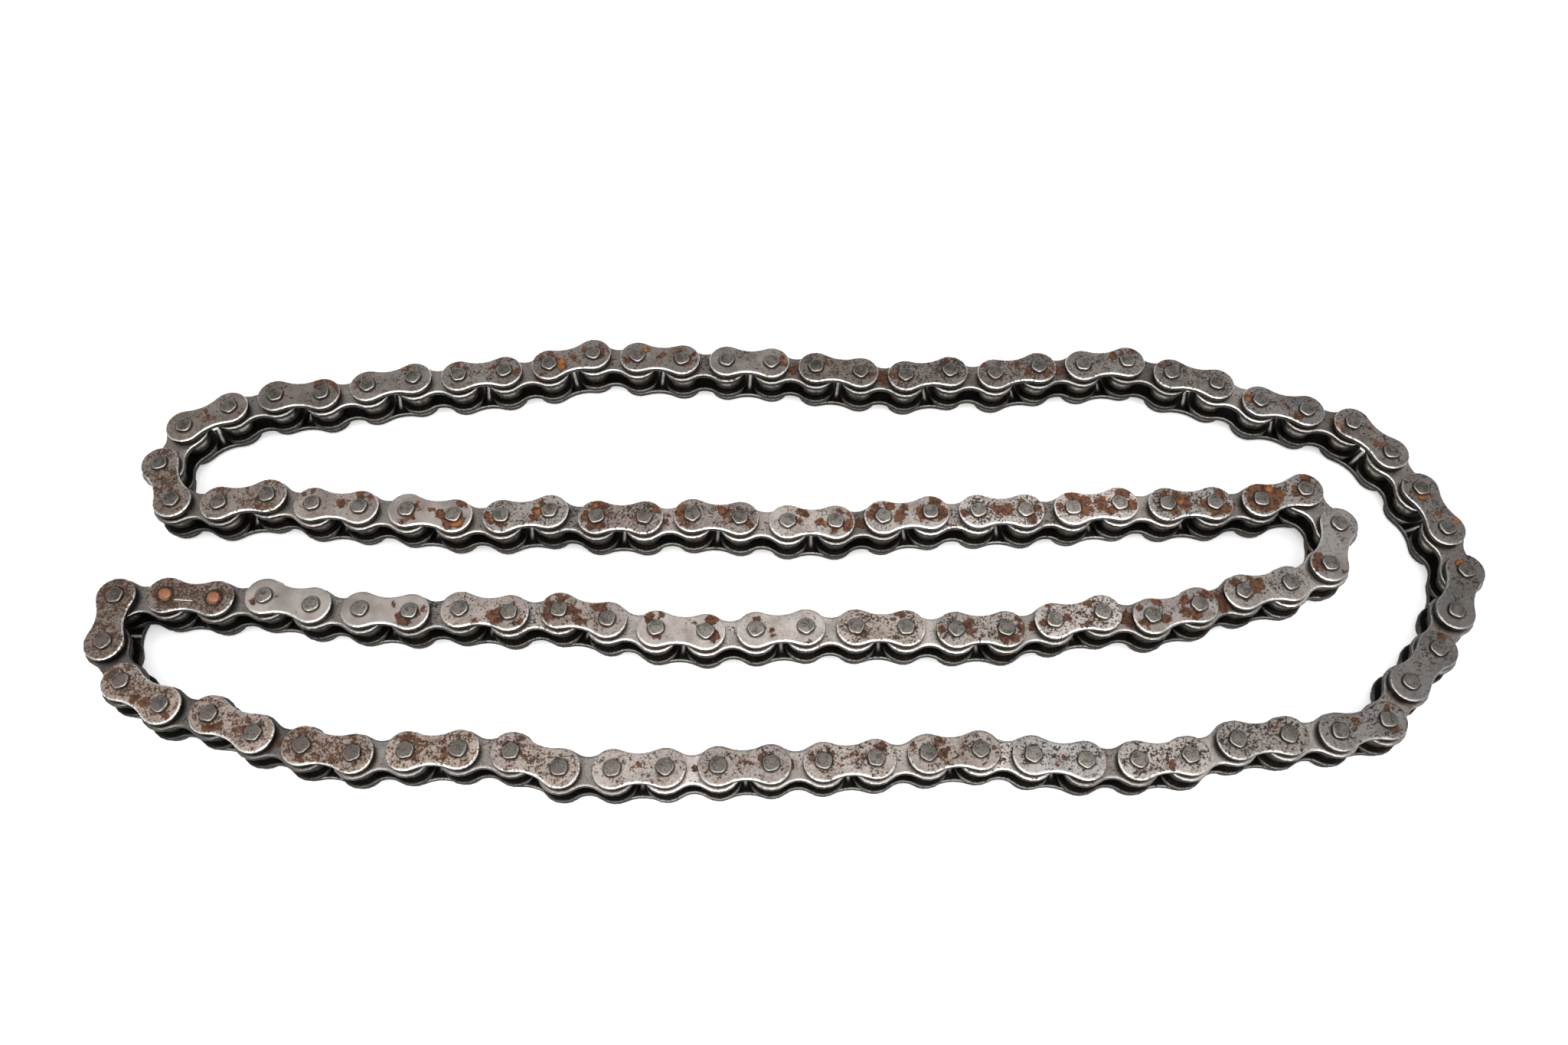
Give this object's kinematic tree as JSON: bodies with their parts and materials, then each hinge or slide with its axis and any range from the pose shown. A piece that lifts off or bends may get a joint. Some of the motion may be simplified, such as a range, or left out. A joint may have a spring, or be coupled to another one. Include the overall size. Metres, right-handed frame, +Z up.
{
  "type": "roller chain",
  "caption": "Endless sealed motorcycle roller chain with riveted pins, worn and rusty, lying on its side in long loose folds.",
  "frame": {"origin": "under the middle of the folded chain's bounding box, on the surface that it lies on", "axes": "+X along the long folds, +Y across them, +Z up along the pins"},
  "size_m": [0.4504, 0.1674, 0.0181],
  "materials": {
    "link_steel": "worn satin steel, pitted and stained",
    "rusted_link_steel": "worn steel with patches of brown and orange rust",
    "joining_link_steel": "worn steel, dark brown speckled rust",
    "inner_plate_steel": "oily satin steel with a bright worn edge",
    "pin_steel": "dark riveted pin ends with four staking dents",
    "copper_pin": "copper brown pin ends of the joining link",
    "roller_steel": "polished steel under black old grease",
    "seal_rubber": "matt black rubber rings"
  },
  "bodies": {
    "root": {"link_pair_01": "link_steel", "link_pair_02": "link_steel", "link_pair_03": "rusted_link_steel", "link_pair_04": "rusted_link_steel", "link_pair_05": "rusted_link_steel", "link_pair_06": "rusted_link_steel", "link_pair_07": "rusted_link_steel", "link_pair_08": "rusted_link_steel", "link_pair_09": "rusted_link_steel", "link_pair_10": "rusted_link_steel", "link_pair_11": "rusted_link_steel", "link_pair_12": "rusted_link_steel", "link_pair_13": "rusted_link_steel", "link_pair_14": "rusted_link_steel", "link_pair_15": "rusted_link_steel", "link_pair_16": "rusted_link_steel", "link_pair_17": "link_steel", "link_pair_18": "link_steel", "link_pair_19": "link_steel", "link_pair_20": "link_steel", "link_pair_21": "link_steel", "link_pair_22": "link_steel", "link_pair_23": "link_steel", "link_pair_24": "link_steel", "link_pair_25": "link_steel", "link_pair_26": "link_steel", "link_pair_27": "link_steel", "link_pair_28": "link_steel", "link_pair_29": "link_steel", "link_pair_30": "link_steel", "link_pair_31": "link_steel", "joining_link_pair_32": "joining_link_steel", "link_pair_33": "link_steel", "link_pair_34": "link_steel", "link_pair_35": "link_steel", "link_pair_36": "link_steel", "link_pair_37": "link_steel", "link_pair_38": "link_steel", "link_pair_39": "link_steel", "link_pair_40": "rusted_link_steel", "link_pair_41": "rusted_link_steel", "link_pair_42": "rusted_link_steel", "link_pair_43": "rusted_link_steel", "link_pair_44": "rusted_link_steel", "link_pair_45": "rusted_link_steel", "link_pair_46": "rusted_link_steel", "link_pair_47": "rusted_link_steel", "link_pair_48": "rusted_link_steel", "link_pair_49": "rusted_link_steel", "link_pair_50": "rusted_link_steel", "link_pair_51": "rusted_link_steel", "link_pair_52": "rusted_link_steel", "link_pair_53": "rusted_link_steel", "link_pair_54": "rusted_link_steel", "link_pair_55": "rusted_link_steel", "link_pair_56": "link_steel", "link_pair_57": "link_steel"}
  },
  "joints": []
}
